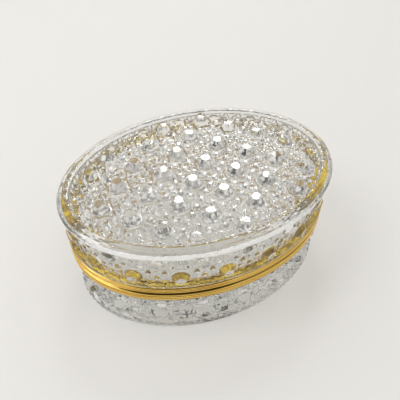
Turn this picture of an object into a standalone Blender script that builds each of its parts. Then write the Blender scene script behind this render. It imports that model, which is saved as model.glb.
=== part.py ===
"""Oval pressed-crystal trinket box with gilt brass rims and a five-knuckle hinge.

Metres, +Z up. X is the long axis, the front is -Y, the hinge is at +Y.
The origin is the middle of the flat underside.
"""
import math

import bmesh
import bpy
import numpy as np
from mathutils import Matrix, Vector

MM = 0.001

# Overall sizes, in mm
PARTING_Z = 32.8          # plane between the two brass rims
GAP = 0.3                 # gap between pieces that touch
RIM_X, RIM_Y = 69.5, 50.0  # half axes of the brass rims
WALL_X, WALL_Y = 69.1, 49.6  # half axes of the straight crystal wall
LID_X, LID_Y = 70.0, 51.4  # half axes of the lid where it is widest
FIELD_X, FIELD_Y = 64.8, 46.6  # half axes of the patterned field on top
LID_TOP = 63.9
FIELD_Z = 59.6            # ground of the field, between the buttons
SIDES = 68                # two facets for each wall button

# Brass rims, in mm
METAL = 0.8
CHANNEL = 8.0             # outside to inside of a rim
LID_RIM_H, BASE_RIM_H = 4.3, 4.95
CEMENT = 1.0

# Wall pattern, in mm
COLUMNS = 34
WALL_DEPTH = 2.4          # ground of the wall below the button tops
LID_ROWS = (54.4, 43.2)
BASE_ROWS = (21.9, 10.7)
BUTTON_R, DISC_R = 4.7, 2.5  # at the ground and at the flat top
ROOT = 0.7                # how far a button's solid goes into the ground

# Top pattern, in mm
SQUARE = 11.43

# Hinge, in mm
HINGE_Y = 53.4
BARREL_R, BORE_R, PIN_R = 1.9, 1.0, 0.93
KNUCKLES, KNUCKLE_PITCH = 5, 6.0
LEAF_BACK_Y = 51.2
LEDGE_Y = HINGE_Y + 1.85


def clear_scene():
    for ob in list(bpy.data.objects):
        bpy.data.objects.remove(ob, do_unlink=True)


def make_material(name, colour, roughness, metallic=0.0):
    mat = bpy.data.materials.new(name)
    mat.use_nodes = True
    shader = mat.node_tree.nodes["Principled BSDF"]
    shader.inputs["Base Color"].default_value = (*colour, 1.0)
    shader.inputs["Roughness"].default_value = roughness
    shader.inputs["Metallic"].default_value = metallic
    mat.diffuse_color = (*colour, 1.0)
    return mat


def link(name, bm, mat, smooth_angle=35):
    """Turns bm into a named object with its faces pointing out."""
    bmesh.ops.recalc_face_normals(bm, faces=bm.faces[:])
    mesh = bpy.data.meshes.new(name)
    bm.to_mesh(mesh)
    bm.free()
    ob = bpy.data.objects.new(name, mesh)
    bpy.context.scene.collection.objects.link(ob)
    mesh.materials.append(mat)
    mesh.shade_smooth()
    mesh.set_sharp_from_angle(angle=math.radians(smooth_angle))
    return ob


def even_angles(count):
    """Ellipse parameters that are equally far apart along the wall."""
    t = np.linspace(0.0, 2 * math.pi, 3601)
    x, y = WALL_X * np.cos(t), WALL_Y * np.sin(t)
    run = np.concatenate([[0.0], np.cumsum(np.hypot(np.diff(x), np.diff(y)))])
    return np.interp(np.arange(count) / count * run[-1], run, t)


def oval_point(t, half_x, half_y, inset, z):
    """A point on an oval, moved in along the oval's normal by inset."""
    normal = Vector((math.cos(t) / half_x, math.sin(t) / half_y, 0)).normalized()
    return (Vector((half_x * math.cos(t), half_y * math.sin(t), z)) - normal * inset) * MM


def oval_loops(bm, rows):
    """One loop of vertices for each row (half_x, half_y, inset, z)."""
    angles = even_angles(SIDES)
    return [[bm.verts.new(oval_point(t, *row)) for t in angles] for row in rows]


def bridge(bm, first, second):
    for k in range(SIDES):
        after = (k + 1) % SIDES
        bm.faces.new((first[k], first[after], second[after], second[k]))


def oval_ring(name, rows, mat):
    """A closed ring: the section's rows run once round it."""
    bm = bmesh.new()
    loops = oval_loops(bm, rows)
    for first, second in zip(loops, loops[1:] + loops[:1]):
        bridge(bm, first, second)
    return link(name, bm, mat)


def oval_bowl(name, rows, mat):
    """A bowl: the first and last rows are closed with a flat face."""
    bm = bmesh.new()
    loops = oval_loops(bm, rows)
    for first, second in zip(loops, loops[1:]):
        bridge(bm, first, second)
    bm.faces.new(loops[0])
    bm.faces.new(loops[-1])
    return link(name, bm, mat)


def box_mesh(bm, low, high):
    size = Vector(high) - Vector(low)
    middle = (Vector(high) + Vector(low)) / 2
    place = Matrix.Translation(middle * MM) @ Matrix.Diagonal((*(size * MM), 1))
    bmesh.ops.create_cube(bm, size=1.0, matrix=place)


def cutter(name, bm):
    ob = link(name, bm, make_material(name, (0.5, 0.5, 0.5), 0.5))
    ob.hide_render = True
    ob.display_type = "WIRE"
    return ob


def combine(ob, other, operation):
    mod = ob.modifiers.new(operation.title(), "BOOLEAN")
    mod.operation = operation
    mod.solver = "EXACT"
    mod.object = other


def apply_and_drop(ob, others):
    """Bakes ob's modifiers and removes the helper objects."""
    bpy.context.view_layer.update()
    graph = bpy.context.evaluated_depsgraph_get()
    mesh = bpy.data.meshes.new_from_object(ob.evaluated_get(graph))
    ob.modifiers.clear()
    ob.data = mesh
    mesh.shade_smooth()
    mesh.set_sharp_from_angle(angle=math.radians(35))
    for other in others:
        bpy.data.objects.remove(other, do_unlink=True)


def add_button(bm, middle, outward, height):
    """An eight-sided button whose flat top is at middle, height above the ground."""
    depth = height + ROOT
    turn = outward.to_track_quat("Z", "Y").to_matrix().to_4x4()
    place = Matrix.Translation((middle - outward * (depth / 2)) * MM) @ turn
    slope = (BUTTON_R - DISC_R) / height
    bmesh.ops.create_cone(
        bm, cap_ends=True, cap_tris=False, segments=8,
        radius1=(DISC_R + slope * depth) * MM, radius2=DISC_R * MM, depth=depth * MM,
        matrix=place @ Matrix.Rotation(math.radians(22.5), 4, "Z"),
    )


def wall_buttons(bm, heights, shift, half_x, half_y):
    """Rows of buttons round the wall, every other square of each row."""
    angles = even_angles(SIDES)
    for row, z in enumerate(heights):
        for column in range((row + shift) % 2, COLUMNS, 2):
            t = angles[2 * column]
            out = Vector((math.cos(t) / half_x, math.sin(t) / half_y, 0)).normalized()
            top = oval_point(t, half_x, half_y, 0.0, z) / MM
            add_button(bm, top, out, WALL_DEPTH)


def field_buttons(bm):
    """Buttons on every other square of the lid's top that fit in the field."""
    for i in range(-11, 12, 2):
        for j in range(-9, 10, 2):
            x, y = i * SQUARE / 2, j * SQUARE / 2
            room = math.hypot(x / (FIELD_X - 3.6), y / (FIELD_Y - 3.6))
            if (i - j) % 4 == 0 and room < 1.0:
                add_button(bm, Vector((x, y, LID_TOP)), Vector((0, 0, 1)), LID_TOP - FIELD_Z)


def lid_crystal(mat):
    bottom = PARTING_Z + GAP / 2 + METAL + CEMENT + 2 * GAP
    shoulder = PARTING_Z + GAP / 2 + LID_RIM_H + GAP
    seat = METAL + GAP
    depth = WALL_DEPTH
    ob = oval_bowl("lid_crystal", [
        (FIELD_X - 1.6, FIELD_Y - 1.6, 0, FIELD_Z),
        (FIELD_X, FIELD_Y, 0, LID_TOP - 0.1),
        (67.6, 49.2, 0, LID_TOP - 0.5),
        (69.4, 50.9, 0, 62.4),
        (LID_X, LID_Y, 0, 61.0),
        (LID_X, LID_Y, 0, 60.2),
        (LID_X, LID_Y, depth, 59.2),
        (69.4, 50.2, depth, 39.4),
        (WALL_X, WALL_Y, 0, 38.5),
        (WALL_X, WALL_Y, 0, shoulder),
        (RIM_X, RIM_Y, seat, shoulder),
        (RIM_X, RIM_Y, seat, bottom),
        (RIM_X, RIM_Y, 6.9, bottom),
        (RIM_X, RIM_Y, 7.3, 48.0),
        (RIM_X, RIM_Y, 9.0, 52.3),
        (RIM_X, RIM_Y, 13.0, 54.2),
    ], mat)
    bm = bmesh.new()
    wall_buttons(bm, LID_ROWS[:1], 0, LID_X - 0.1, LID_Y - 0.3)
    wall_buttons(bm, LID_ROWS[1:], 1, 69.5, 50.3)
    field_buttons(bm)
    buttons = cutter("lid_buttons", bm)
    combine(ob, buttons, "UNION")
    apply_and_drop(ob, [buttons])
    return ob


def base_crystal(mat):
    top = PARTING_Z - GAP / 2 - METAL - CEMENT - 2 * GAP
    shoulder = PARTING_Z - GAP / 2 - BASE_RIM_H - GAP
    seat = METAL + GAP
    depth = WALL_DEPTH
    ob = oval_bowl("base_crystal", [
        (WALL_X, WALL_Y, 3.2, 0.0),
        (WALL_X, WALL_Y, 1.0, 0.8),
        (WALL_X, WALL_Y, 0.2, 2.6),
        (WALL_X, WALL_Y, 0.2, 4.4),
        (WALL_X, WALL_Y, depth, 5.3),
        (WALL_X, WALL_Y, depth, 25.9),
        (WALL_X, WALL_Y, 0, 26.8),
        (WALL_X, WALL_Y, 0, shoulder),
        (RIM_X, RIM_Y, seat, shoulder),
        (RIM_X, RIM_Y, seat, top),
        (RIM_X, RIM_Y, 6.9, top),
        (RIM_X, RIM_Y, 7.3, 14.5),
        (RIM_X, RIM_Y, 9.0, 10.4),
        (RIM_X, RIM_Y, 13.0, 9.0),
    ], mat)
    bm = bmesh.new()
    wall_buttons(bm, BASE_ROWS, 0, WALL_X, WALL_Y)
    buttons = cutter("base_buttons", bm)
    combine(ob, buttons, "UNION")
    apply_and_drop(ob, [buttons])
    return ob


def brass_rim(name, seam, side, height, mat):
    """A channel round the crystal's edge; side is +1 above the seam, -1 below."""
    inner = CHANNEL - METAL
    return oval_ring(name, [
        (RIM_X, RIM_Y, 0.3, seam),
        (RIM_X, RIM_Y, 0.0, seam + side * 0.3),
        (RIM_X, RIM_Y, 0.0, seam + side * (height - 0.3)),
        (RIM_X, RIM_Y, 0.3, seam + side * height),
        (RIM_X, RIM_Y, METAL, seam + side * height),
        (RIM_X, RIM_Y, METAL, seam + side * METAL),
        (RIM_X, RIM_Y, inner, seam + side * METAL),
        (RIM_X, RIM_Y, inner, seam + side * 3.4),
        (RIM_X, RIM_Y, CHANNEL, seam + side * 3.4),
        (RIM_X, RIM_Y, CHANNEL, seam),
    ], mat)


def flat_ring(name, outer, inner, low, high, mat):
    return oval_ring(name, [
        (RIM_X, RIM_Y, outer, low), (RIM_X, RIM_Y, outer, high),
        (RIM_X, RIM_Y, inner, high), (RIM_X, RIM_Y, inner, low),
    ], mat)


def hinge_leaf(name, side, mat):
    """An L-shaped leaf, filed hollow to fit the rim; its ledge is the stop."""
    half = KNUCKLES * KNUCKLE_PITCH / 2
    near, far = 0.3, 4.1
    ledge_low, ledge_high = BARREL_R + GAP, BARREL_R + GAP + 0.9

    def span(a, b):
        return sorted((PARTING_Z + side * a, PARTING_Z + side * b))

    low, high = span(near, far)
    bm = bmesh.new()
    box_mesh(bm, (-half, 46.5, low), (half, LEAF_BACK_Y, high))
    ob = link(name, bm, mat)
    low, high = span(ledge_low, ledge_high)
    bm = bmesh.new()
    box_mesh(bm, (-half, LEAF_BACK_Y - 0.6, low), (half, LEDGE_Y, high))
    ledge = cutter(name + "_ledge", bm)
    bm = bmesh.new()
    place = Matrix.Translation((0, 0, PARTING_Z * MM)) @ Matrix.Diagonal(
        ((RIM_X + GAP) * MM, (RIM_Y + GAP) * MM, 20 * MM, 1))
    bmesh.ops.create_cone(
        bm, cap_ends=True, cap_tris=False, segments=180, radius1=1, radius2=1, depth=1,
        matrix=place)
    hollow = cutter(name + "_hollow", bm)
    combine(ob, ledge, "UNION")
    combine(ob, hollow, "DIFFERENCE")
    apply_and_drop(ob, [ledge, hollow])
    return ob


def tube_along_x(name, rows, mat, segments=24):
    """A body turned on the hinge axis from rows (x, radius), closed as a ring."""
    bm = bmesh.new()
    verts = [bm.verts.new((x * MM, 0, r * MM)) for x, r in rows]
    edges = [bm.edges.new((a, b)) for a, b in zip(verts, verts[1:] + verts[:1])
             if a.co.z > 0 or b.co.z > 0]
    bmesh.ops.spin(
        bm, geom=verts + edges, cent=(0, 0, 0), axis=(1, 0, 0),
        angle=2 * math.pi, steps=segments, use_merge=True, use_duplicate=False)
    bmesh.ops.remove_doubles(bm, verts=bm.verts[:], dist=0.000001)
    ob = link(name, bm, mat, 50)
    ob.location = (0, HINGE_Y * MM, PARTING_Z * MM)
    return ob


def hinge_knuckle(name, index, mat):
    start = (index - KNUCKLES / 2) * KNUCKLE_PITCH + 0.12
    end = start + KNUCKLE_PITCH - 0.24
    return tube_along_x(name, [
        (start, BORE_R), (start, BARREL_R), (end, BARREL_R), (end, BORE_R),
    ], mat)


def hinge_pin(name, mat):
    half = KNUCKLES * KNUCKLE_PITCH / 2 + 0.18
    return tube_along_x(name, [
        (-half - 0.7, 0.0), (-half - 0.7, 1.0), (-half - 0.35, 1.45), (-half, 1.45),
        (-half, PIN_R), (half, PIN_R), (half, 1.45), (half + 0.35, 1.45),
        (half + 0.7, 1.0), (half + 0.7, 0.0),
    ], mat)


def build():
    clear_scene()
    crystal = make_material("crystal", (0.86, 0.87, 0.86), 0.05)
    gilt = make_material("gilt_brass", (0.72, 0.47, 0.14), 0.25, 1.0)
    cement = make_material("rim_cement", (0.82, 0.79, 0.72), 0.8)
    steel = make_material("hinge_pin", (0.62, 0.5, 0.3), 0.3, 1.0)

    lid_seam, base_seam = PARTING_Z + GAP / 2, PARTING_Z - GAP / 2
    lid_crystal(crystal)
    base_crystal(crystal)
    brass_rim("lid_rim", lid_seam, 1, LID_RIM_H, gilt)
    brass_rim("base_rim", base_seam, -1, BASE_RIM_H, gilt)

    packed = METAL + GAP
    flat_ring("lid_cement", packed, 6.9, lid_seam + packed, lid_seam + packed + CEMENT, cement)
    flat_ring("base_cement", packed, 6.9, base_seam - packed - CEMENT, base_seam - packed, cement)
    flat_ring("base_lip", CHANNEL + GAP, CHANNEL + GAP + METAL, 29.8, 35.4, gilt)

    hinge_leaf("lid_hinge_leaf", 1, gilt)
    hinge_leaf("base_hinge_leaf", -1, gilt)
    hinge_knuckle("base_knuckle_left", 0, gilt)
    hinge_knuckle("lid_knuckle_left", 1, gilt)
    hinge_knuckle("base_knuckle_middle", 2, gilt)
    hinge_knuckle("lid_knuckle_right", 3, gilt)
    hinge_knuckle("base_knuckle_right", 4, gilt)
    hinge_pin("hinge_pin", steel)


build()
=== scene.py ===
import math

import bpy
import numpy as np
from mathutils import Matrix, Vector


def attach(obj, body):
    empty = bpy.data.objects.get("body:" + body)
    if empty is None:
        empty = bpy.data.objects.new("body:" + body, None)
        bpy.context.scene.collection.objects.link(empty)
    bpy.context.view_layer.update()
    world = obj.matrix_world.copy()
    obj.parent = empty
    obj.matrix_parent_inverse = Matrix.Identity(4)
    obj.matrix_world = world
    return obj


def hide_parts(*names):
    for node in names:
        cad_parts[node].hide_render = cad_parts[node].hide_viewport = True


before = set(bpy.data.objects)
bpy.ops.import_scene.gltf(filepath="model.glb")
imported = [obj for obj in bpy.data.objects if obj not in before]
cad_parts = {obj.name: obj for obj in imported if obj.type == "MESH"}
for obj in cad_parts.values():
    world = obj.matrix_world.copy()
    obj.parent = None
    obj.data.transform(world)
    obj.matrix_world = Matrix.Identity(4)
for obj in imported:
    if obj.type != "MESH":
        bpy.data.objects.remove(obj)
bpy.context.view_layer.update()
mm = 0.001
tau = 2 * math.pi

# Sizes that the crystal and the brass share, in mm
body = {
    "seamZ": 32.8,
    "rimX": 69.5, "rimY": 50.0,        # half sizes of the brass
    "wallX": 69.1, "wallY": 49.6,      # of the base crystal
    "lidX": 70.0, "lidY": 51.4,        # of the lid where it is widest
    "fieldX": 64.8, "fieldY": 46.6,    # of the patterned field on the lid
    "lidTop": 63.9,
    "columns": 34,                     # squares of the pattern round a wall
    "seatRows": (3, 7),                # rows of a crystal's inside that stand in the brass channel
    "sharpAngle": 28,                  # a crystal's edges stay sharp from this bend up, in degrees
}


def evenAngles(count):
    # ellipse parameters with equal lengths of wall between them: the running length is tabulated in fine
    # steps and read backwards
    fineSteps = 7200
    t = np.linspace(0, tau, fineSteps + 1)
    alongX, alongY = np.diff(body["wallX"] * np.cos(t)), np.diff(body["wallY"] * np.sin(t))
    run = np.concatenate([[0], np.cumsum(np.hypot(alongX, alongY))])
    return np.interp(np.arange(count) / count * run[-1], run, t)


def wallAngles(place, columns, fine):
    # the ellipse parameter at a place counted in columns along the wall, read from a table that has fine
    # steps in each column and runs one column past both ends
    angles = evenAngles(columns * fine)
    table = np.concatenate([angles[-fine:] - tau, angles, angles[:fine] + tau])
    return np.interp(place * fine, np.arange(-fine, columns * fine + fine), table)


def ovalPoints(t, halfX, halfY, inset, z):
    # a point on the ellipse (halfX cos t, halfY sin t), moved in along the ellipse's normal by inset, at
    # height z
    nx, ny = np.cos(t) / halfX, np.sin(t) / halfY
    size = np.hypot(nx, ny)
    x = halfX * np.cos(t) - inset * nx / size
    y = halfY * np.sin(t) - inset * ny / size
    return np.stack(np.broadcast_arrays(x, y, z), -1)


def ringSurface(rows, angles):
    # one loop of the oval for each row (halfX, halfY, inset, z), all at the same angles
    rows = np.asarray(rows, float)[:, None, :]
    return ovalPoints(angles[None, :], rows[..., 0], rows[..., 1], rows[..., 2], rows[..., 3])


def smoothRings(rows, angles):
    # rings of the smooth parts of the crystal: their fourth number, the ground value, is 0
    rings = ringSurface(rows, angles)
    return np.concatenate([rings, np.zeros(rings.shape[:-1] + (1,))], -1)


def insideRows(profile):
    # (inset, height) pairs as rows of a ring surface, measured in from the brass's ellipse
    return [(body["rimX"], body["rimY"], inset, z) for inset, z in profile]


def gridFaces(rowCount, columnCount, first=0):
    # quads between the rows of a surface that closes round on itself
    r, c = np.meshgrid(np.arange(rowCount - 1), np.arange(columnCount), indexing="ij")
    after = (c + 1) % columnCount
    quad = np.stack([r * columnCount + c, r * columnCount + after,
                     (r + 1) * columnCount + after, (r + 1) * columnCount + c], -1)
    return quad.reshape(-1, 4) + first


def fanFaces(loop, middle):
    # triangles between a closed loop and the one point in its middle
    return np.stack([loop, np.roll(loop, -1), np.full(len(loop), middle)], -1)


def zipFaces(outer, inner, outerAngle, innerAngle):
    # triangles between two closed loops with different counts: walking round both at once, in order of
    # angle, each step closes a triangle with the last point passed on the other loop
    angle = np.concatenate([outerAngle, innerAngle])
    isOuter = np.arange(len(angle)) < len(outerAngle)
    order = np.argsort(angle, kind="stable")
    fromOuter = isOuter[order]
    o = np.cumsum(fromOuter) - 1
    i = np.cumsum(~fromOuter) - 1
    oBefore, iBefore = o - fromOuter, i - ~fromOuter
    a = np.where(fromOuter, outer[o % len(outer)], inner[i % len(inner)])
    b = np.where(fromOuter, outer[oBefore % len(outer)], inner[iBefore % len(inner)])
    c = np.where(fromOuter, inner[i % len(inner)], outer[o % len(outer)])
    return np.where(fromOuter[:, None], np.stack([a, c, b], -1), np.stack([a, b, c], -1))


def makePiece(name, points, faceSets, material, bodyName, replaces, sharpAngle, second=None,
              ground=None):
    # points in mm; a face has three or four corners; second is a second material with the numbers of its
    # faces; ground says for each point from 0 to 1 how far down it lies in the pattern, or how much painted
    # shade it gets
    mesh = bpy.data.meshes.new(name)
    faces = [f for block in faceSets for f in np.asarray(block).tolist()]
    mesh.from_pydata((np.asarray(points) * mm).tolist(), [], faces)
    mesh.materials.append(material)
    if second is not None:
        mesh.materials.append(second[0])
        slots = np.zeros(len(faces), np.int32)
        slots[second[1]] = 1
        mesh.polygons.foreach_set("material_index", slots)
    if ground is not None:
        mesh.attributes.new("ground", "FLOAT", "POINT").data.foreach_set("value", ground.astype(np.float32))
    mesh.shade_smooth()
    mesh.set_sharp_from_angle(angle=math.radians(sharpAngle))
    piece = bpy.data.objects.new(name, mesh)
    bpy.context.scene.collection.objects.link(piece)
    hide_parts(replaces)
    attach(piece, bodyName)


# The pressed pattern: a board of squares, each with one large button or with five small ones

pattern = {
    "steps": 18,          # grid steps across one square, a multiple of 6
    "square": 11.43,      # side of a square on the lid's top
    "sides": 8,           # flats round the foot of a button
    # distance from the middle and depth below the top, ring by ring, for a large button
    "largeRadius": (0, 0.8, 1.6, 2.3, 2.5, 3.2, 4.0, 4.75, 5.25, 5.715),
    "largeDepth": (0, 0, 0, 0.03, 0.18, 1.35, 2.85, 4.2, 4.3, 4.6),
    "smallRadius": (0, 0.85, 1.5, 1.905),
    "smallDepth": (2.9, 2.95, 4.2, 4.35),
    "studDepth": (3.55, 3.8, 4.1, 4.35),   # the low pyramids between the small buttons
    "cornerLift": 0.5,    # how far the ground rises into the corners round a large button
    "groundDepth": 4.3,
    "grooveDepth": 4.75,  # the V-groove along each side of a square
    "creaseDepth": 4.6,   # and the finer one from corner to corner between the small buttons
    "groundFrom": 3.5,    # deeper than this the surface is stippled, fully so at the ground
}


def stippled(depth):
    # 0 on the buttons and 1 on the ground, with an even change between
    return np.clip((depth - pattern["groundFrom"]) / (pattern["groundDepth"] - pattern["groundFrom"]), 0, 1)


def buttonCell(s, t, radii, sides):
    # inside one cell, s and t run from -1 to 1. Square rings become round ones: ring k gets the radius
    # radii[k], with the corners of a polygon of the given sides towards the foot, and the outermost rings
    # stay square
    rings = len(radii) - 1
    m = np.maximum(np.abs(s), np.abs(t))
    ring = np.rint(m * rings).astype(int)
    safe = np.where(m > 0, m, 1)
    su, tu = s / safe, t / safe
    turn = np.where(np.abs(su) >= np.abs(tu),
                    np.pi / 4 * tu * np.sign(su) + np.where(su < 0, np.pi, 0),
                    np.pi / 2 * np.sign(tu) - np.pi / 4 * su * np.sign(tu))
    wedge = tau / sides
    corner = np.cos(wedge / 2) / np.cos((turn + wedge / 2) % wedge - wedge / 2)
    radius = np.asarray(radii)[ring]
    facet = np.clip((ring - rings / 2) / (rings / 4), 0, 1)
    bent = radius * (1 - facet + facet * corner)
    square = np.clip(ring - rings + (1.5 if rings > 4 else 1), 0, 1)
    x = (1 - square) * bent * np.cos(turn) + square * su * radius
    y = (1 - square) * bent * np.sin(turn) + square * tu * radius
    return np.where(m > 0, x, 0), np.where(m > 0, y, 0), ring


def pressedPattern(i, j, isLarge, half):
    # i and j count grid steps; isLarge says for each square (column, row) whether it holds one large button;
    # half is half a square's side. Returns each point's place along the board and its depth below the tops
    n = pattern["steps"]
    column, row = i // n, j // n
    s, t = (i % n) * 2 / n - 1, (j % n) * 2 / n - 1
    size = half / pattern["largeRadius"][-1]
    xl, yl, ringLarge = buttonCell(s, t, np.array(pattern["largeRadius"]) * size, pattern["sides"])
    # the other squares are three by three cells: a small button in the middle one and in each corner one
    cellS, cellT = np.clip(np.rint(s * 1.5), -1, 1), np.clip(np.rint(t * 1.5), -1, 1)
    xs, ys, ringSmall = buttonCell(s * 3 - cellS * 2, t * 3 - cellT * 2,
                                   np.array(pattern["smallRadius"]) * size, pattern["sides"])
    raised = np.abs(cellS) == np.abs(cellT)
    depthSmall = np.where(raised, np.asarray(pattern["smallDepth"])[ringSmall],
                          np.asarray(pattern["studDepth"])[ringSmall])
    onDiagonal = np.isclose(np.abs(s), np.abs(t)) & (depthSmall > pattern["groundDepth"])
    depthSmall = np.where(onDiagonal, pattern["creaseDepth"], depthSmall)
    large = isLarge(column, row)
    x = np.where(large, xl, xs + cellS * half * 2 / 3)
    y = np.where(large, yl, ys + cellT * half * 2 / 3)
    # round a large button the ground rises into the square's corners, on the last ring but one
    corner = np.clip(np.minimum(np.abs(s), np.abs(t)) * 3 - 1.4, 0, 1)
    corner = corner * (ringLarge == len(pattern["largeDepth"]) - 2)
    depthLarge = np.asarray(pattern["largeDepth"])[ringLarge] - pattern["cornerLift"] * corner
    depth = np.where(large, depthLarge, depthSmall)
    depth = np.where((i % n == 0) | (j % n == 0), pattern["grooveDepth"], depth)
    return (column * 2 + 1) * half + x, (row * 2 + 1) * half + y, depth


def splitQuads(quads, i, j):
    # each quad becomes two triangles, cut along the diagonal that points at the middle of its own cell;
    # i and j are the grid steps of its first corner
    n = pattern["steps"]
    s, t = (i % n + 0.5) - n / 2, (j % n + 0.5) - n / 2
    same = (s * t > 0)[:, None]
    first = np.where(same, quads[:, [0, 1, 2]], quads[:, [0, 1, 3]])
    return np.concatenate([first, np.where(same, quads[:, [0, 2, 3]], quads[:, [1, 2, 3]])])


def wallSurface(foot, head, heights, shift, scale):
    # the pattern wrapped round a wall: along the grid's columns the wall's length runs evenly, up its rows
    # the height; foot and head are the wall's half sizes, and the depth times scale becomes the inset
    n, columns = pattern["steps"], body["columns"]
    low, high = heights
    side = (high - low) / 2
    i, j = np.meshgrid(np.arange(columns * n), np.arange(2 * n + 1), indexing="xy")
    x, y, depth = pressedPattern(i, j, lambda c, r: (c + r + shift) % 2 == 0, side / 2)
    t = wallAngles(x / side - 0.5, columns, 64)
    z = low + y
    up = (z - low) / (high - low)
    halfX = foot[0] + (head[0] - foot[0]) * up
    halfY = foot[1] + (head[1] - foot[1]) * up
    return np.concatenate([ovalPoints(t, halfX, halfY, depth * scale, z), stippled(depth)[..., None]], -1)


print("shapes ready")

# Materials

finish = {
    # clear is the share of the light that passes through; the rest is the haze of the fine moulding
    "lidCrystal": {"colour": (0.95, 0.945, 0.925, 1), "clear": 0.97, "ior": 1.53, "bump": 0.12},
    "baseCrystal": {"colour": (0.99, 0.99, 0.98, 1), "clear": 0.99, "ior": 1.49, "bump": 0.06},
    "crystalShadow": (1, 1, 0.99, 1),
    "smear": 0.04, "smearScale": 45,
    "rippleScale": 260, "stippleScale": 1100, "stippleShare": 0.5, "crystalBump": 0.0006,
    "goldColour": (1.0, 0.66, 0.15, 1),
    "goldDark": (0.60, 0.30, 0.04, 1),
    "goldRubbed": (1.0, 0.70, 0.22, 1), "rubbedShare": 0.35, "rubbedScale": 80,
    "drawnLines": (0.36, 0.52), "bandLines": 2600, "hingeLines": 900,
    "goldRoughness": (0.28, 0.08),
    # painted shade: the near-black mixed into the gilt in its grooves, at the seam and on the knuckle ends
    "paintedShadeColour": (0.035, 0.018, 0.006, 1),
    # gold and cement seen deep in the crystal: the grey they turn to, its largest share and the ray depths
    "deepGrey": (0.62, 0.60, 0.55, 1), "deepShare": 0.75, "deepSteps": 2.5,
    "goldBegins": 0.6, "settingBegins": 2,
    "cementColour": (0.78, 0.58, 0.22, 1),
    "cementDark": (0.50, 0.34, 0.10, 1), "cementGrain": 400,
    "settingColour": (1.0, 0.72, 0.08, 1),
    "settingDark": (0.24, 0.13, 0.01, 1), "settingScale": 130,
}


def groupSocket(tree, name, way, kind, value=None):
    socket = tree.interface.new_socket(name=name, in_out=way, socket_type=kind)
    if value is not None:
        socket.default_value = value


def mathNode(nodes, operation, factor=None):
    # a Math node whose second socket may hold a fixed factor
    node = nodes.new("ShaderNodeMath")
    node.operation = operation
    if factor is not None:
        node.inputs[1].default_value = factor
    return node


def noiseNode(nodes, scale, detail):
    node = nodes.new("ShaderNodeTexNoise")
    node.inputs["Scale"].default_value = scale
    node.inputs["Detail"].default_value = detail
    return node


def colourMix(nodes, links, factor, first, second):
    # the output first with a share of the fixed colour second mixed in
    mix = nodes.new("ShaderNodeMix")
    mix.data_type = "RGBA"
    mix.inputs["B"].default_value = second
    links.new(factor, mix.inputs["Factor"])
    links.new(first, mix.inputs["A"])
    return mix.outputs["Result"]


def toneRamp(nodes, links, value, dark, light, ends=(0, 1)):
    # a colour between dark and light for a value between the two ends
    tone = nodes.new("ShaderNodeValToRGB")
    low, high = tone.color_ramp.elements
    low.position, high.position = ends
    low.color, high.color = dark, light
    links.new(value, tone.inputs["Fac"])
    return tone.outputs["Color"]


def addBump(nodes, links, height, strength, distance):
    bump = nodes.new("ShaderNodeBump")
    bump.inputs["Strength"].default_value = strength
    bump.inputs["Distance"].default_value = distance
    links.new(height, bump.inputs["Height"])
    links.new(bump.outputs["Normal"], nodes["Principled BSDF"].inputs["Normal"])


def handlingWear():
    # soft blotches from handling: two sizes of noise, multiplied, give a mask from 0 to 1
    tree = bpy.data.node_groups.new("handlingWear", "ShaderNodeTree")
    groupSocket(tree, "Vector", "INPUT", "NodeSocketVector")
    groupSocket(tree, "Scale", "INPUT", "NodeSocketFloat", 60.0)
    groupSocket(tree, "Mask", "OUTPUT", "NodeSocketFloat")
    inlet, outlet = tree.nodes.new("NodeGroupInput"), tree.nodes.new("NodeGroupOutput")
    coarse, fine = tree.nodes.new("ShaderNodeTexNoise"), tree.nodes.new("ShaderNodeTexNoise")
    coarse.inputs["Detail"].default_value, fine.inputs["Detail"].default_value = 3, 5
    finer = mathNode(tree.nodes, "MULTIPLY", 6)
    blend = mathNode(tree.nodes, "MULTIPLY")
    spread = tree.nodes.new("ShaderNodeMapRange")
    spread.inputs["From Min"].default_value, spread.inputs["From Max"].default_value = 0.16, 0.36
    link = tree.links.new
    link(inlet.outputs["Vector"], coarse.inputs["Vector"])
    link(inlet.outputs["Vector"], fine.inputs["Vector"])
    link(inlet.outputs["Scale"], coarse.inputs["Scale"])
    link(inlet.outputs["Scale"], finer.inputs[0])
    link(finer.outputs[0], fine.inputs["Scale"])
    link(coarse.outputs["Fac"], blend.inputs[0])
    link(fine.outputs["Fac"], blend.inputs[1])
    link(blend.outputs[0], spread.inputs["Value"])
    link(spread.outputs["Result"], outlet.inputs["Mask"])
    return tree


wearGroup = handlingWear()


def newMaterial(name, wearScale):
    # returns the material, its nodes and links, its main shader, the place on the piece and the wear mask
    material = bpy.data.materials.new(name)
    material.use_nodes = True
    nodes, links = material.node_tree.nodes, material.node_tree.links
    place = nodes.new("ShaderNodeTexCoord").outputs["Object"]
    wear = nodes.new("ShaderNodeGroup")
    wear.node_tree = wearGroup
    wear.inputs["Scale"].default_value = wearScale
    links.new(place, wear.inputs["Vector"])
    return material, nodes, links, nodes["Principled BSDF"], place, wear.outputs["Mask"]


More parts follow.
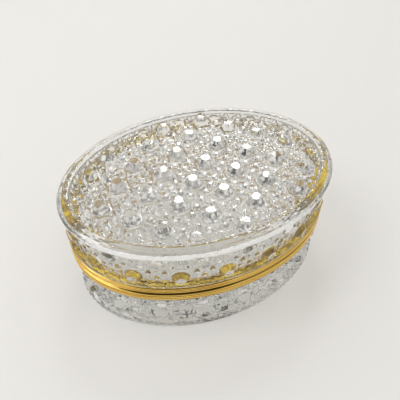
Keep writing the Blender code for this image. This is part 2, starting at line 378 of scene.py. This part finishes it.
def crystalMaterial(name, look):
    # clear pressed glass that lets lamp light through: faint ripples from the mould, a few smears, and fine
    # stippling on the ground of the pattern
    material, nodes, links, shader, place, wear = newMaterial(name, finish["smearScale"])
    shader.inputs["Base Color"].default_value = look["colour"]
    shader.inputs["Transmission Weight"].default_value = look["clear"]
    shader.inputs["IOR"].default_value = look["ior"]
    smear = nodes.new("ShaderNodeMapRange")
    smear.inputs["To Max"].default_value = finish["smear"]
    links.new(wear, smear.inputs["Value"])
    links.new(smear.outputs["Result"], shader.inputs["Roughness"])
    ground = nodes.new("ShaderNodeAttribute")
    ground.attribute_name = "ground"
    ripple = noiseNode(nodes, finish["rippleScale"], 2)
    stipple = noiseNode(nodes, finish["stippleScale"], 2)
    share = mathNode(nodes, "MULTIPLY")
    height = mathNode(nodes, "MULTIPLY_ADD", finish["stippleShare"])
    links.new(place, ripple.inputs["Vector"])
    links.new(place, stipple.inputs["Vector"])
    links.new(stipple.outputs["Fac"], share.inputs[0])
    links.new(ground.outputs["Fac"], share.inputs[1])
    links.new(share.outputs[0], height.inputs[0])
    links.new(ripple.outputs["Fac"], height.inputs[2])
    addBump(nodes, links, height.outputs[0], look["bump"], finish["crystalBump"])
    # for shadows the glass is only a pale tint, so that the lamps reach the floor
    clear = nodes.new("ShaderNodeBsdfTransparent")
    clear.inputs["Color"].default_value = finish["crystalShadow"]
    path, mix = nodes.new("ShaderNodeLightPath"), nodes.new("ShaderNodeMixShader")
    links.new(path.outputs["Is Shadow Ray"], mix.inputs["Fac"])
    links.new(shader.outputs["BSDF"], mix.inputs[1])
    links.new(clear.outputs["BSDF"], mix.inputs[2])
    links.new(mix.outputs["Shader"], nodes["Material Output"].inputs["Surface"])
    return material


def paled(nodes, links, colour, begin):
    # gold seen after several turns through the crystal loses its colour: a share of grey is mixed in, which
    # grows evenly from 0 at the ray depth begin
    path, deep = nodes.new("ShaderNodeLightPath"), nodes.new("ShaderNodeMapRange")
    deep.inputs["From Min"].default_value = begin
    deep.inputs["From Max"].default_value = begin + finish["deepSteps"]
    deep.inputs["To Max"].default_value = finish["deepShare"]
    links.new(path.outputs["Ray Depth"], deep.inputs["Value"])
    return colourMix(nodes, links, deep.outputs["Result"], colour, finish["deepGrey"])


def goldMaterial(name, stripes):
    # gilt brass: long fine lines drawn round the band, painted shade in the hollows, and brighter where it
    # is rubbed
    material, nodes, links, shader, place, wear = newMaterial(name, finish["rubbedScale"])
    shader.inputs["Metallic"].default_value = 1
    stretch = nodes.new("ShaderNodeMapping")
    stretch.inputs["Scale"].default_value = (25, 25, stripes)
    links.new(place, stretch.inputs["Vector"])
    lines = noiseNode(nodes, 1.0, 4)
    links.new(stretch.outputs["Vector"], lines.inputs["Vector"])
    drawn = toneRamp(nodes, links, lines.outputs["Fac"], finish["goldDark"], finish["goldColour"],
                     finish["drawnLines"])
    part = mathNode(nodes, "MULTIPLY", finish["rubbedShare"])
    links.new(wear, part.inputs[0])
    rubbed = colourMix(nodes, links, part.outputs[0], drawn, finish["goldRubbed"])
    # painted shade darkens the hollows that the mesh's ground value marks: near-black mixed into the gilt
    # colour
    hollow = nodes.new("ShaderNodeAttribute")
    hollow.attribute_name = "ground"
    shadedGold = colourMix(nodes, links, hollow.outputs["Fac"], rubbed, finish["paintedShadeColour"])
    links.new(paled(nodes, links, shadedGold, finish["goldBegins"]), shader.inputs["Base Color"])
    rough = nodes.new("ShaderNodeMapRange")
    rough.inputs["To Min"].default_value, rough.inputs["To Max"].default_value = finish["goldRoughness"]
    links.new(lines.outputs["Fac"], rough.inputs["Value"])
    links.new(rough.outputs["Result"], shader.inputs["Roughness"])
    addBump(nodes, links, lines.outputs["Fac"], 0.5, 0.0002)
    return material


def cementMaterial():
    # dry plaster: its grain shows in the colour and in the bump
    material, nodes, links, shader, place, wear = newMaterial("rimCement", finish["cementGrain"])
    tone = toneRamp(nodes, links, wear, finish["cementDark"], finish["cementColour"])
    links.new(tone, shader.inputs["Base Color"])
    shader.inputs["Roughness"].default_value = 0.85
    addBump(nodes, links, wear, 0.4, 0.0002)
    return material


def settingMaterial():
    # the crystal's edge in the channel, seen through the glass: brass that shows through amber cement in
    # blotches
    material, nodes, links, shader, place, wear = newMaterial("amberSetting", finish["settingScale"])
    tone = toneRamp(nodes, links, wear, finish["settingDark"], finish["settingColour"], (0, 0.6))
    links.new(paled(nodes, links, tone, finish["settingBegins"]), shader.inputs["Base Color"])
    shader.inputs["Metallic"].default_value = 0.9
    shader.inputs["Roughness"].default_value = 0.2
    return material


clearLid = crystalMaterial("lidCrystal", finish["lidCrystal"])
clearBase = crystalMaterial("baseCrystal", finish["baseCrystal"])
setting = settingMaterial()
giltBand = goldMaterial("giltBand", finish["bandLines"])
giltHinge = goldMaterial("giltHinge", finish["hingeLines"])
cement = cementMaterial()
print("materials ready")

# Crystal lid: first its top

field = {
    "countX": 12, "countY": 10,   # squares of the board, some of them outside the oval
    "edgeInset": 1.6,             # the field's edge lies this far inside the shoulder's ellipse
    "buttonMargin": 3.6,          # a large button's middle stays this far inside it
    "nearEdge": 0.004,            # points closer to the edge than this share are drawn to it
    "evening": 0.03,              # how far the edge's points are moved towards even spacing
}


def fieldSurface():
    # the board on a flat oval. Points outside the oval are drawn in to its edge along the line to the
    # middle, and squares that lie outside altogether are dropped
    n, half = pattern["steps"], pattern["square"] / 2
    countX, countY, margin = field["countX"], field["countY"], field["buttonMargin"]

    def isLarge(column, row):
        a, b = 2 * column - countX + 1, 2 * row - countY + 1
        room = np.hypot(a * half / (body["fieldX"] - margin), b * half / (body["fieldY"] - margin))
        return ((a - b) % 4 == 0) & (room < 1)

    i, j = np.meshgrid(np.arange(countX * n + 1), np.arange(countY * n + 1), indexing="ij")
    x, y, depth = pressedPattern(i, j, isLarge, half)
    x, y = x - countX * half, y - countY * half
    away = np.hypot(x / (body["fieldX"] - field["edgeInset"]), y / (body["fieldY"] - field["edgeInset"]))
    outside = away >= 1 - field["nearEdge"]
    scale = np.where(outside, 1 / np.maximum(away, 1e-9), 1)
    depth = np.where(outside, pattern["groundDepth"], depth)
    points = np.stack([x * scale, y * scale, body["lidTop"] - depth, stippled(depth)], -1).reshape(-1, 4)
    outside = outside.reshape(-1)
    index = np.arange(len(points)).reshape(x.shape)
    quads = np.stack([index[:-1, :-1], index[1:, :-1], index[1:, 1:], index[:-1, 1:]], -1).reshape(-1, 4)
    triangles = splitQuads(quads, i[:-1, :-1].reshape(-1), j[:-1, :-1].reshape(-1))
    return points, triangles[~outside[triangles].all(1)]


def packed(points, faces):
    # drops the points that no face uses and walks round the edge. Its points are then set in order on the
    # oval, a little way towards even spacing, so that no two of them meet; returns them with their angles
    used = np.unique(faces)
    new = np.full(len(points), -1)
    new[used] = np.arange(len(used))
    points, faces = points[used], new[faces]
    ends = np.concatenate([faces[:, [0, 1]], faces[:, [1, 2]], faces[:, [2, 0]]])
    forward = ends[:, 0] * len(points) + ends[:, 1]
    backward = ends[:, 1] * len(points) + ends[:, 0]
    following = dict(ends[~np.isin(forward, backward)].tolist())
    fx, fy = body["fieldX"], body["fieldY"]
    angle = np.arctan2(points[:, 1] / fy, points[:, 0] / fx) % tau
    rim = [min(following, key=lambda point: angle[point])]
    while following[rim[-1]] != rim[0]:
        rim.append(following[rim[-1]])
    turn = np.sort(np.unwrap(angle[rim]))
    even = turn[0] + np.arange(len(rim)) * tau / len(rim)
    turn = (1 - field["evening"]) * turn + field["evening"] * even
    x, y = fx * np.cos(turn), fy * np.sin(turn)
    away = np.hypot(x / (fx - field["edgeInset"]), y / (fy - field["edgeInset"]))
    points[rim, 0], points[rim, 1] = x / away, y / away
    return points, faces, np.array(rim), turn


# then its shoulder, wall and inside

lid = {
    "patternLow": 37.6, "patternHigh": 60.0, "wallScale": 0.56,
    "wallFoot": (69.3, 50.0), "wallHead": (69.85, 51.15),
    # the rise from the field to the shoulder: inset from the shoulder's ellipse, and height
    "rise": ((1.45, 60.1), (1.0, 61.8), (0.6, 63.1), (0.3, 63.6)),
    "shoulderRows": 19, "round": 3.3, "startSlope": 15, "startOut": 0.1,
    "underShoulder": (69.9, 51.3, 0, 60.15),
    # depths of the shoulder's ripples, of its unevenness and of its wavy edge
    "ripple": 0.05, "uneven": 0.045, "wavy": 0.12,
    # the smooth foot below the wall: half sizes, inset and height
    "foot": ((69.2, 49.75, 0.1, 38.5), (69.1, 49.6, 0, 38.2), (69.1, 49.6, 0, 37.5)),
    # the edge in the channel and the inside: inset from the brass's ellipse, and height
    "inside": ((1.1, 37.45), (1.1, 35.4), (1.4, 35.2), (6.6, 35.2), (6.9, 35.4), (7.0, 40.0), (7.3, 48.0),
               (7.9, 50.6), (9.0, 52.4), (10.8, 53.6), (13.0, 54.15), (18.0, 54.2), (30.0, 54.2)),
}


def lidShoulder(angles):
    x, y, fx, fy = body["lidX"], body["lidY"], body["fieldX"], body["fieldY"]
    # an elliptical round with faint ripples, which already slopes where it leaves the field
    bend = np.linspace(math.radians(lid["startSlope"]), np.pi / 2, lid["shoulderRows"])
    ripple = lid["ripple"] * np.sin(bend * 18) * np.sin(bend * 2)
    across = 1 - (1 - np.sin(bend)) / (1 - np.sin(bend[0]))
    edgeX, edgeY = fx + lid["startOut"], fy + lid["startOut"]
    height = body["lidTop"] - lid["round"] + (lid["round"] + ripple) * np.cos(bend)
    curve = np.stack([edgeX + (x - edgeX) * across, edgeY + (y - edgeY) * across, 0 * bend, height], -1)
    rise = [(fx - inset, fy - inset, 0, z) for inset, z in lid["rise"]]
    shoulder = smoothRings(np.concatenate([rise, curve, [lid["underShoulder"]]]), angles)
    # hand finishing leaves it slightly uneven: waves of three lengths run round it, a few hundredths deep
    steps = np.arange(len(shoulder))[:, None]
    uneven = (np.sin(angles * 23 + steps * 0.5) + np.sin(angles * 41 - steps * 0.8)
              + np.sin(angles * 87 + steps * 1.3)) * lid["uneven"] * np.clip(steps / 6, 0, 1)
    shoulder[..., :2] *= 1 - np.abs(uneven)[..., None] / x
    # the mould leaves the field's edge wavy: two uneven waves, strongest at the edge itself
    wavy = np.sin(angles * 67 + 2 * np.sin(angles * 9)) + np.sin(angles * 113 - 3 * np.sin(angles * 7))
    weight = np.interp(np.arange(len(shoulder)), (0, 1, 3, 6), (0, 0.6, 1, 0))
    shoulder[..., :2] *= 1 + (weight[:, None] * wavy * lid["wavy"])[..., None] / x
    return shoulder


def lidCrystal():
    count = body["columns"] * pattern["steps"]
    angles = evenAngles(count)
    fieldPoints, fieldFaces, edge, edgeAngle = packed(*fieldSurface())
    shoulder = lidShoulder(angles)
    wall = wallSurface(lid["wallFoot"], lid["wallHead"], (lid["patternLow"], lid["patternHigh"]), 1,
                       lid["wallScale"])
    wall = wall[::-1][:-1]                       # top down, without the lowest row
    inner = smoothRings(list(lid["foot"]) + insideRows(lid["inside"]), angles)
    rings = np.concatenate([shoulder, wall, inner])
    first = len(fieldPoints)
    points = np.concatenate([fieldPoints, rings.reshape(-1, 4), [[0, 0, lid["inside"][-1][1], 0]]])
    ringQuads = gridFaces(len(rings), count, first)
    zipped = zipFaces(first + np.arange(count), edge, angles, edgeAngle)
    cap = fanFaces(first + (len(rings) - 1) * count + np.arange(count), len(points) - 1)
    # the ring rows that stand in the brass channel are set in amber cement
    above = len(shoulder) + len(wall)
    seat = np.arange((above + body["seatRows"][0]) * count, (above + body["seatRows"][1]) * count)
    makePiece("crystalLid", points[:, :3], [fieldFaces, zipped, ringQuads[:, ::-1], cap[:, ::-1]], clearLid,
              "lid", "lid_crystal", body["sharpAngle"],
              (setting, len(fieldFaces) + len(zipped) + seat), points[:, 3])


lidCrystal()
print("lid ready")

# Crystal base

base = {
    "patternLow": 5.1, "patternHigh": 27.5, "wallScale": 0.56, "footInset": 0.1,
    # the ring of small studs: a stud's radius and depth ring by ring are shares of its half size and relief
    "studLow": 1.5, "studHigh": 4.9, "studInset": 0.3, "studRelief": 0.5, "studSides": 16,
    "studRadii": (0, 0.55, 0.85, 1.0), "studDepths": (0, 0.12, 0.8, 1.0),
    "starPoints": 34, "starDepth": 1.5, "starRows": 22, "starInset": 4, "starPower": 0.7,
    # where the star's grooves begin and end, as shares of the underside
    "starFrom": 0.03, "starReach": 0.88,
    # the foot below the studs and the neck above the wall: inset from the wall's ellipse, and height
    "foot": ((3.6, 0.0), (2.6, 0.05), (1.9, 0.35), (1.35, 0.9), (1.2, 1.3)),
    "neck": ((0.1, 26.8), (0, 27.0), (0, 27.45)),
    # the edge in the channel and the inside: inset from the brass's ellipse, and height
    "inside": ((1.1, 27.55), (1.1, 30.1), (1.4, 30.25), (6.6, 30.25), (6.9, 30.1), (7.0, 24.0), (7.3, 14.5),
               (7.9, 12.0), (9.0, 10.3), (10.8, 9.4), (13.0, 9.05), (18.0, 9.0), (30.0, 9.0)),
}


def studRow():
    # small round studs, three for each column of squares: button cells on a strip, wrapped round the foot
    steps, columns = pattern["steps"] // 3, body["columns"] * 3
    i, j = np.meshgrid(np.arange(columns * steps), np.arange(steps + 1), indexing="xy")
    half = (base["studHigh"] - base["studLow"]) / 2
    s, t = (i % steps) * 2 / steps - 1, j * 2 / steps - 1
    x, y, ring = buttonCell(s, t, np.array(base["studRadii"]) * half, base["studSides"])
    turn = wallAngles(i // steps + 0.5 + x / half / 2, columns, 16)
    depth = base["studInset"] + base["studRelief"] * np.array(base["studDepths"])[ring]
    points = ovalPoints(turn, body["wallX"], body["wallY"], depth, base["studLow"] + half + y)
    return np.concatenate([points, np.zeros(points.shape[:-1] + (1,))], -1)


def starRows():
    # a star cut into the underside: V-grooves that run out from the middle, deepest half way along. Gives
    # the rows' half sizes, inset and height
    count = body["columns"] * pattern["steps"]
    start, inset = base["starFrom"], base["starInset"]
    out = np.linspace(start, base["starReach"], base["starRows"])[:, None]
    turn = np.arange(count)[None, :] / count * base["starPoints"]
    groove = 1 - np.abs(2 * (turn % 1) - 1)
    along = np.sin(np.pi * (out - start) / (base["starReach"] - start)) ** base["starPower"]
    cut = base["starDepth"] * groove * along
    return (body["wallX"] - inset) * out, (body["wallY"] - inset) * out, 0, cut


def baseCrystal():
    count = body["columns"] * pattern["steps"]
    angles = evenAngles(count)
    x, y = body["wallX"], body["wallY"]
    wall = wallSurface((x - base["footInset"], y - base["footInset"]), (x, y),
                       (base["patternLow"], base["patternHigh"]), 0, base["wallScale"])[1:-1]
    star = ovalPoints(angles[None, :], *starRows())
    star = np.concatenate([star, np.zeros(star.shape[:-1] + (1,))], -1)
    foot = smoothRings([(x, y, inset, z) for inset, z in base["foot"]], angles)
    neck = [(x, y, inset, z) for inset, z in base["neck"]]
    inner = smoothRings(neck + insideRows(base["inside"]), angles)
    below = np.concatenate([star, foot, studRow()])
    rings = np.concatenate([below, wall, inner])
    points = np.concatenate([rings.reshape(-1, 4), [[0, 0, 0, 0], [0, 0, base["inside"][-1][1], 0]]])
    under = fanFaces(np.arange(count), len(points) - 2)
    floor = fanFaces((len(rings) - 1) * count + np.arange(count), len(points) - 1)
    outside = len(below) + len(wall)
    seat = np.arange((outside + body["seatRows"][0]) * count, (outside + body["seatRows"][1]) * count)
    makePiece("crystalBase", points[:, :3], [gridFaces(len(rings), count), under[:, ::-1], floor], clearBase,
              "base", "base_crystal", body["sharpAngle"], (setting, seat), points[:, 3])


baseCrystal()
print("base ready")

# Brass rims: fine beads run round each band

band = {
    "metal": 0.8, "channel": 8.0, "innerHeight": 3.4, "soft": 0.1, "lidHeight": 4.3, "baseHeight": 4.95,
    "seamGap": 0.15,        # each band stays this far from the seam's plane
    "beads": 3, "beadSteps": 12, "beadPower": 0.6, "groove": 0.36,
    "beadFoot": 0.65, "beadHead": 0.35,   # plain metal below the first bead and above the last one
    # painted shade in the bead grooves: its share at their bottoms, and the power that narrows it
    "paintedShade": 0.7, "paintedShadePower": 1.5,
    "angles": 272, "sharpAngle": 40,
}


def brassRim(name, side, height, bodyName, node):
    # the outside is a row of flat beads with narrow grooves between them: half waves raised to a small
    # power. Every row is (halfX, halfY, inset, height, painted shade)
    seam = body["seamZ"] + side * band["seamGap"]
    along = np.linspace(0, 1, band["beads"] * band["beadSteps"] + 1)
    wave = band["groove"] * (1 - np.abs(np.sin(np.pi * band["beads"] * along)) ** band["beadPower"])
    lift = band["beadFoot"] + (height - band["beadFoot"] - band["beadHead"]) * along
    # painted shade darkens the grooves between the beads, most at their bottoms
    paintedShade = band["paintedShade"] * (wave / band["groove"]) ** band["paintedShadePower"]
    outside = np.stack([np.full_like(along, body["rimX"]), np.full_like(along, body["rimY"]), wave,
                        seam + side * lift, paintedShade], -1)
    # then the edge round the crystal, the channel's inside, its inner wall and the face at the seam, each
    # with its inset, its height and its share of painted shade from 0 to 1: full at the seam, partial at the
    # edge round the crystal
    metal, channel, top, soft = band["metal"], band["channel"], band["innerHeight"], band["soft"]
    inner = channel - metal
    close = [
        (0.25, height - 0.1, 0.2), (0.5, height, 0.4), (metal, height, 0.6), (metal, metal, 0.3),
        (inner, metal, 0.3), (inner, top - soft, 0), (inner + soft, top, 0), (channel - soft, top, 0),
        (channel, top - soft, 0), (channel, soft, 0), (channel - soft, 0, 0), (1.75, 0, 0),
        (1.3, 0, 1), (0.95, 0.08, 1), (0.5, 0.28, 1), (0.1, 0.5, 0.35),
    ]
    closing = [(body["rimX"], body["rimY"], inset, seam + side * up, paintedShade) for inset, up, paintedShade in close]
    rows = np.concatenate([outside, closing])
    points = ringSurface(rows[:, :4], evenAngles(band["angles"])).reshape(-1, 3)
    quads = gridFaces(len(rows) + 1, band["angles"]) % len(points)
    if side < 0:
        quads = quads[:, ::-1]
    makePiece(name, points, [quads], giltBand, bodyName, node, band["sharpAngle"],
              ground=np.repeat(rows[:, 4], band["angles"]))


brassRim("giltRimLid", 1, band["lidHeight"], "lid", "lid_rim")
brassRim("giltRimBase", -1, band["baseHeight"], "base", "base_rim")
print("rims ready")

# Hinge: five turned knuckles with rounded ends on a pin with domed heads

hinge = {
    "axisY": 53.4, "axisZ": 32.8,
    "barrel": 1.9, "bore": 1.0, "pitch": 6.0, "gap": 0.12, "round": 0.3,
    "pin": 0.93, "head": 1.45, "dome": 0.7, "headGap": 0.18,
    "angles": 64, "sharpAngle": 50,
    # piece, body and node of each knuckle, from left to right
    "knuckles": (
        ("giltKnuckleLeft", "base", "base_knuckle_left"),
        ("giltLidKnuckleLeft", "lid", "lid_knuckle_left"),
        ("giltKnuckleMiddle", "base", "base_knuckle_middle"),
        ("giltLidKnuckleRight", "lid", "lid_knuckle_right"),
        ("giltKnuckleRight", "base", "base_knuckle_right"),
    ),
}


def turnedPiece(name, rows, bodyName, node):
    # rows of (x, radius, painted shade) spun round the hinge's axis. A row with no radius closes the end
    # with one point, and without such rows the outline closes on itself
    rows = np.array(rows, float)
    axisY, axisZ = hinge["axisY"], hinge["axisZ"]
    turn = np.arange(hinge["angles"]) / hinge["angles"] * tau
    tube = rows[rows[:, 1] > 0]
    x, radius = tube[:, :1], tube[:, 1:2]
    y, z = axisY + radius * np.cos(turn), axisZ + radius * np.sin(turn)
    points = np.stack(np.broadcast_arrays(x, y, z), -1).reshape(-1, 3)
    ground = np.repeat(tube[:, 2], len(turn))
    if len(tube) == len(rows):
        blocks = [gridFaces(len(rows) + 1, len(turn)) % len(points)]
    else:
        first, count = np.arange(len(turn)), len(points)
        blocks = [gridFaces(len(tube), len(turn)), fanFaces(first, count)[:, ::-1],
                  fanFaces(first + count - len(turn), count + 1)]
        points = np.concatenate([points, [(rows[0, 0], axisY, axisZ), (rows[-1, 0], axisY, axisZ)]])
        ground = np.concatenate([ground, [0, 0]])
    makePiece(name, points, blocks, giltHinge, bodyName, node, hinge["sharpAngle"], ground=ground)


def hingePieces():
    # a knuckle's ends are rounded over a quarter circle; painted shade sits on the end faces and fades over
    # the round
    bend = np.linspace(0, np.pi / 2, 7)
    barrel, bore, soft = hinge["barrel"], hinge["bore"], hinge["round"]
    middle = len(hinge["knuckles"]) / 2
    for index, (name, bodyName, node) in enumerate(hinge["knuckles"]):
        start = (index - middle) * hinge["pitch"] + hinge["gap"]
        end = start + hinge["pitch"] - 2 * hinge["gap"]
        out = [(start + soft * (1 - np.sin(b)), barrel - soft * (1 - np.cos(b)), np.sin(b) ** 2)
               for b in bend[::-1]]
        back = [(start + end - x, radius, paintedShade) for x, radius, paintedShade in out[::-1]]
        turnedPiece(name, [(start, bore, 1)] + out + back + [(end, bore, 1)], bodyName, node)
    # the pin's heads are half ellipses, and its left half is mirrored by turning the order of the rows round
    half = middle * hinge["pitch"] + hinge["headGap"]
    left = [(-half - hinge["dome"] * np.cos(b), hinge["head"] * np.sin(b), 0) for b in bend]
    # the pin's shaft inside the knuckles gets full painted shade
    left.append((-half, hinge["pin"], 1))
    right = [(-x, radius, paintedShade) for x, radius, paintedShade in left[::-1]]
    turnedPiece("hingePinTurned", left + right, "base", "hinge_pin")


hingePieces()
print("hinge ready")

# Pieces that keep their CAD shape

keptShapes = {
    "base_lip": giltBand,
    "lid_hinge_leaf": giltHinge, "base_hinge_leaf": giltHinge,
    "lid_cement": cement, "base_cement": cement,
}
for name, material in keptShapes.items():
    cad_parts[name].data.materials.clear()
    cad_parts[name].data.materials.append(material)
print("kept shapes ready")

# Floor, light and camera

studio = {
    "floorColour": (0.80, 0.79, 0.77, 1), "floorHalf": 8.0, "floorZ": -0.0002,
    "skyStrength": 1.05,
    "backdrop": 1.22,           # the sky's strength where the camera sees it directly
    # furniture stands dark round the walls up to 15 degrees: heights as sines of the angle above the horizon
    "furnitureShade": 0.12, "furnitureFoot": 0.02, "furnitureTop": 0.26,
    "wallColour": (0.45, 0.44, 0.42, 1), "ceilingColour": (1.0, 0.99, 0.97, 1),
    # name, place, aim, width, height, power of the lamp and brightness of its card
    "windows": (
        ("windowLeft", (-0.75, 0.10, 0.75), (0, 0, 0.03), 0.5, 0.5, 2.0, 5),
        ("windowBack", (0.30, 0.645, 0.72), (0, 0, 0.06), 0.30, 0.27, 0.8, 13),
    ),
    # whoever looks at the box stands dark before it, and gives the crystal its dark glints
    "onlooker": ("onlooker", (-0.105, -0.27, 0.33), (0, 0, 0.03), 0.40, 0.46, 0.1),
    # where the camera stands, and in degrees how far it is turned right of +Y, tipped down and rolled
    "cameraPlace": (-0.06062, -0.15411, 0.21226),
    "heading": 21.56, "pitch": 46.05, "roll": -0.52,
    "lens": 40.5,
}


def buildFloor():
    size = studio["floorHalf"]
    mesh = bpy.data.meshes.new("floor")
    corners = [(-size, -size, 0), (size, -size, 0), (size, size, 0), (-size, size, 0)]
    mesh.from_pydata(corners, [], [(0, 1, 2, 3)])
    floor = bpy.data.objects.new("floor", mesh)
    floor.location.z = studio["floorZ"]
    bpy.context.scene.collection.objects.link(floor)
    material = bpy.data.materials.new("paleFloor")
    material.use_nodes = True
    shader = material.node_tree.nodes["Principled BSDF"]
    shader.inputs["Base Color"].default_value = studio["floorColour"]
    shader.inputs["Roughness"].default_value = 0.8
    mesh.materials.append(material)


def buildRoom():
    # a pale room, brighter overhead and on the left, where its windows are: its tone is
    # 0.3 + 0.6 z - 0.3 x of the direction looked in
    world = bpy.data.worlds.new("studio")
    world.use_nodes = True
    nodes, links = world.node_tree.nodes, world.node_tree.links
    place, split = nodes.new("ShaderNodeTexCoord"), nodes.new("ShaderNodeSeparateXYZ")
    side = mathNode(nodes, "MULTIPLY_ADD", -0.3)
    lean = mathNode(nodes, "MULTIPLY_ADD", 0.6)
    lean.inputs[2].default_value = 0.3
    links.new(place.outputs["Generated"], split.inputs["Vector"])
    links.new(split.outputs["Z"], lean.inputs[0])
    links.new(split.outputs["X"], side.inputs[0])
    links.new(lean.outputs[0], side.inputs[2])
    tone = toneRamp(nodes, links, side.outputs[0], studio["wallColour"], studio["ceilingColour"])
    # the strength grows from the furniture's foot to its top, but the camera sees the plain backdrop
    dim = nodes.new("ShaderNodeMapRange")
    dim.inputs["From Min"].default_value = studio["furnitureFoot"]
    dim.inputs["From Max"].default_value = studio["furnitureTop"]
    dim.inputs["To Min"].default_value = studio["furnitureShade"]
    dim.inputs["To Max"].default_value = studio["skyStrength"]
    path, strength = nodes.new("ShaderNodeLightPath"), nodes.new("ShaderNodeMix")
    strength.inputs["B"].default_value = studio["backdrop"]
    links.new(split.outputs["Z"], dim.inputs["Value"])
    links.new(path.outputs["Is Camera Ray"], strength.inputs["Factor"])
    links.new(dim.outputs["Result"], strength.inputs["A"])
    links.new(strength.outputs["Result"], nodes["Background"].inputs["Strength"])
    links.new(tone, nodes["Background"].inputs["Color"])
    bpy.context.scene.world = world


def facing(place, aim):
    # the placing of a card or lamp that stands at place and looks at aim
    turn = (Vector(aim) - Vector(place)).to_track_quat("-Z", "Y").to_matrix().to_4x4()
    return Matrix.Translation(place) @ turn


def glowCard(name, place, aim, width, height, brightness):
    # a card that only shows in reflections, with an even brightness
    glow = bpy.data.materials.new(name + "Glow")
    glow.use_nodes = True
    glow.node_tree.nodes.clear()
    emission = glow.node_tree.nodes.new("ShaderNodeEmission")
    emission.inputs["Strength"].default_value = brightness
    output = glow.node_tree.nodes.new("ShaderNodeOutputMaterial")
    glow.node_tree.links.new(emission.outputs["Emission"], output.inputs["Surface"])
    glow.cycles.emission_sampling = "NONE"
    w, h = width / 2, height / 2
    mesh = bpy.data.meshes.new(name)
    mesh.from_pydata([(-w, h, 0), (w, h, 0), (w, -h, 0), (-w, -h, 0)], [], [(0, 1, 2, 3)])
    mesh.materials.append(glow)
    card = bpy.data.objects.new(name, mesh)
    card.matrix_world = facing(place, aim)
    card.visible_camera = False
    card.visible_diffuse = False
    card.visible_shadow = False
    card.visible_transmission = False
    bpy.context.scene.collection.objects.link(card)
    return card


def softLight(name, place, aim, width, height, power, brightness):
    # a lamp that lights the floor and the matte surfaces, and a bright card of the same size for reflections
    light = bpy.data.lights.new(name, "AREA")
    light.shape = "RECTANGLE"
    light.size, light.size_y = width, height
    light.energy = power
    lamp = bpy.data.objects.new(name, light)
    lamp.matrix_world = facing(place, aim)
    lamp.visible_glossy = False
    lamp.visible_transmission = False
    bpy.context.scene.collection.objects.link(lamp)
    glowCard(name + "Card", place, aim, width, height, brightness)


def buildCamera():
    camera = bpy.data.cameras.new("camera")
    camera.lens, camera.sensor_width = studio["lens"], 36
    camera.clip_start, camera.clip_end = 0.01, 20
    eye = bpy.data.objects.new("camera", camera)
    heading = Matrix.Rotation(math.radians(-studio["heading"]), 4, "Z")
    pitch = Matrix.Rotation(math.radians(90 - studio["pitch"]), 4, "X")
    roll = Matrix.Rotation(math.radians(studio["roll"]), 4, "Z")
    eye.matrix_world = Matrix.Translation(studio["cameraPlace"]) @ heading @ pitch @ roll
    bpy.context.scene.collection.objects.link(eye)
    bpy.context.scene.camera = eye
    bpy.context.scene.view_settings.view_transform = "Standard"


buildFloor()
buildRoom()
for window in studio["windows"]:
    softLight(*window)
onlooker = glowCard(*studio["onlooker"])
onlooker.visible_transmission = True
buildCamera()
print("studio ready")
